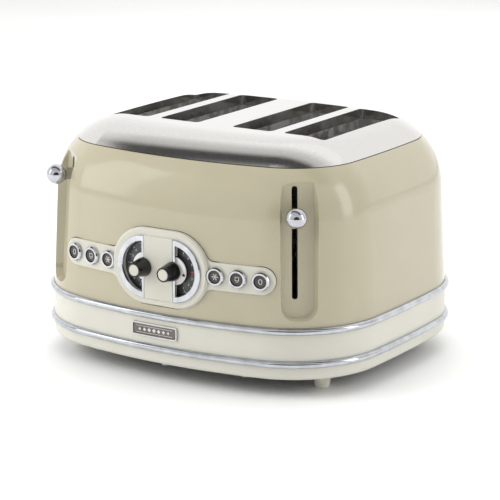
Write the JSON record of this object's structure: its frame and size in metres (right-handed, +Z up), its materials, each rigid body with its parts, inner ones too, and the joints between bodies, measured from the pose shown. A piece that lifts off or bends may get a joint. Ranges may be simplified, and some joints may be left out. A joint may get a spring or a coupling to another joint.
{
  "type": "pop-up toaster",
  "caption": "Retro pop-up toaster with rounded enamelled body, brushed steel cap, chrome trim bands, half-round browning dials, push buttons and corner lift levers.",
  "frame": {"origin": "middle of the footprint on the surface it stands on", "axes": "+Z up, the dials face -Y, +X to the right seen from the front"},
  "size_m": [0.3374, 0.327, 0.2152],
  "materials": {
    "body_enamel": "gloss beige enamel",
    "cap_steel": "brushed stainless steel",
    "seal_rubber": "dark seal",
    "chrome_trim": "polished chrome",
    "skirt_plastic": "cream moulding",
    "base_steel": "dark painted sheet",
    "foot_plastic": "cream foot",
    "screw_steel": "zinc-plated",
    "gland_rubber": "black rubber",
    "badge_metal": "polished",
    "badge_face": "dark lacquer",
    "fascia_plastic": "cream satin moulding",
    "chrome_dial": "bright chrome",
    "dial_print": "dark grey printed face",
    "pointer_white": "white with a dot",
    "knob_black": "black",
    "spindle_steel": "turned steel",
    "encoder_body": "black component",
    "board_green": "circuit board",
    "chassis_steel": "galvanised sheet",
    "mica": "mica sheet",
    "heater_alloy": "resistance ribbon",
    "guide_steel": "steel wire",
    "rod_steel": "ground steel",
    "carriage_steel": "pressed steel",
    "lever_steel": "plated steel",
    "chrome_ball": "mirror chrome",
    "spring_steel": "spring wire",
    "magnet_coil": "wound coil",
    "button_face": "dark grey-brown with a symbol"
  },
  "bodies": {
    "casing": {"badge_frame": "badge_metal", "badge_plate": "badge_face", "base_plate": "base_steel", "base_screws": "screw_steel", "base_skirt": "skirt_plastic", "board_switches": "encoder_body", "body_shell": "body_enamel", "bread_guides": "guide_steel", "button_rings": "chrome_dial", "control_board": "board_green", "control_fascia": "fascia_plastic", "cord_gland": "gland_rubber", "dial_bezel_left": "chrome_dial", "dial_bezel_right": "chrome_dial", "dial_face_left": "dial_print", "dial_face_right": "dial_print", "feet": "foot_plastic", "front_plate": "chassis_steel", "guide_rods": "rod_steel", "heater_cards": "mica", "heater_ribbons": "heater_alloy", "latch_magnets": "magnet_coil", "lower_band": "chrome_trim", "power_board": "board_green", "power_components": "encoder_body", "rear_plate": "chassis_steel", "seam_seal": "seal_rubber", "side_shields": "chassis_steel", "slot_chutes": "chassis_steel", "top_cap": "cap_steel", "tray_runners": "chassis_steel", "upper_band": "chrome_trim"},
    "carriage_left": {"carriage_left": "carriage_steel", "lever_arm_left": "lever_steel", "lever_knob_left": "chrome_ball", "bread_rack_left": "guide_steel", "keeper_left": "rod_steel", "lift_spring_left": "spring_steel"},
    "knob_left": {"knob_left": "knob_black", "knob_cap_left": "fascia_plastic", "pointer_disc_left": "pointer_white", "dial_spindle_left": "spindle_steel"},
    "tray_left": {"crumb_tray_left": "skirt_plastic"},
    "button_left_1": {"button_left_1": "button_face"},
    "button_left_2": {"button_left_2": "button_face"},
    "button_left_3": {"button_left_3": "button_face"},
    "carriage_right": {"carriage_right": "carriage_steel", "lever_arm_right": "lever_steel", "lever_knob_right": "chrome_ball", "bread_rack_right": "guide_steel", "keeper_right": "rod_steel", "lift_spring_right": "spring_steel"},
    "knob_right": {"knob_right": "knob_black", "knob_cap_right": "fascia_plastic", "pointer_disc_right": "pointer_white", "dial_spindle_right": "spindle_steel"},
    "tray_right": {"crumb_tray_right": "skirt_plastic"},
    "button_right_1": {"button_right_1": "button_face"},
    "button_right_2": {"button_right_2": "button_face"},
    "button_right_3": {"button_right_3": "button_face"}
  },
  "joints": [
    {"name": "left_lever", "type": "slide", "parent": "casing", "child": "carriage_left", "axis": [0, 0, 1], "range_m": [-0.075, 0.0075], "stiffness_N_per_m": 250, "springref_m": 0.0065, "deforming": ["lift_spring_left"]},
    {"name": "right_lever", "type": "slide", "parent": "casing", "child": "carriage_right", "axis": [0, 0, 1], "range_m": [-0.066, 0.0165], "stiffness_N_per_m": 250, "springref_m": 0.0065, "deforming": ["lift_spring_right"]},
    {"name": "left_dial", "type": "hinge", "parent": "casing", "child": "knob_left", "pos_m": [-0.01515, -0.15, 0.103], "axis": [0, -1, 0], "range_deg": [-75, 75]},
    {"name": "right_dial", "type": "hinge", "parent": "casing", "child": "knob_right", "pos_m": [0.01515, -0.15, 0.103], "axis": [0, -1, 0], "range_deg": [-75, 75]},
    {"name": "left_button_1", "type": "slide", "parent": "casing", "child": "button_left_1", "axis": [0.1189, 0.9929, 0], "range_m": [0, 0.002], "stiffness_N_per_m": 400},
    {"name": "left_button_2", "type": "slide", "parent": "casing", "child": "button_left_2", "axis": [0.162, 0.9868, 0], "range_m": [0, 0.002], "stiffness_N_per_m": 400},
    {"name": "left_button_3", "type": "slide", "parent": "casing", "child": "button_left_3", "axis": [0.2059, 0.9786, 0], "range_m": [0, 0.002], "stiffness_N_per_m": 400},
    {"name": "right_button_1", "type": "slide", "parent": "casing", "child": "button_right_1", "axis": [-0.1189, 0.9929, 0], "range_m": [0, 0.002], "stiffness_N_per_m": 400},
    {"name": "right_button_2", "type": "slide", "parent": "casing", "child": "button_right_2", "axis": [-0.162, 0.9868, 0], "range_m": [0, 0.002], "stiffness_N_per_m": 400},
    {"name": "right_button_3", "type": "slide", "parent": "casing", "child": "button_right_3", "axis": [-0.2059, 0.9786, 0], "range_m": [0, 0.002], "stiffness_N_per_m": 400},
    {"name": "left_crumb_tray", "type": "slide", "parent": "casing", "child": "tray_left", "axis": [0, 1, 0], "range_m": [0, 0.16]},
    {"name": "right_crumb_tray", "type": "slide", "parent": "casing", "child": "tray_right", "axis": [0, 1, 0], "range_m": [0, 0.16]}
  ]
}
